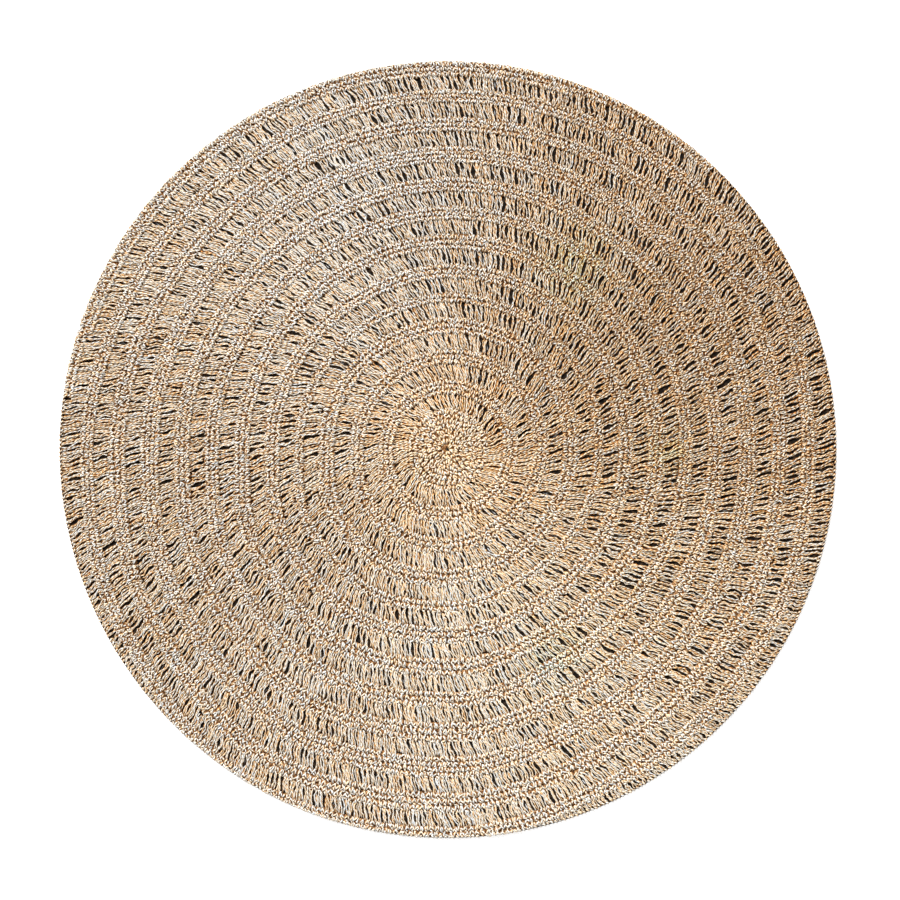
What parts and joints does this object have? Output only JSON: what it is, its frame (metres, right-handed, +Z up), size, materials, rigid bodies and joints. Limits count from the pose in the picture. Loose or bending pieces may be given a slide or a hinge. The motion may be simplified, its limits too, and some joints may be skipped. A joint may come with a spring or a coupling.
{
  "type": "round seagrass rug",
  "caption": "Round floor rug crocheted from twisted seagrass cord, with dense rounds and open rounds of tall posts between them.",
  "frame": {"origin": "middle of the underside, on the floor", "axes": "+Z up, away from the floor; +X towards the side where the gaps are widest, at the picture's right"},
  "size_m": [2, 2, 0.0099],
  "materials": {
    "seagrass": "twisted natural seagrass cord, dry and slightly glossy, beige to olive brown"
  },
  "bodies": {
    "root": {"rug": "seagrass"}
  },
  "joints": []
}
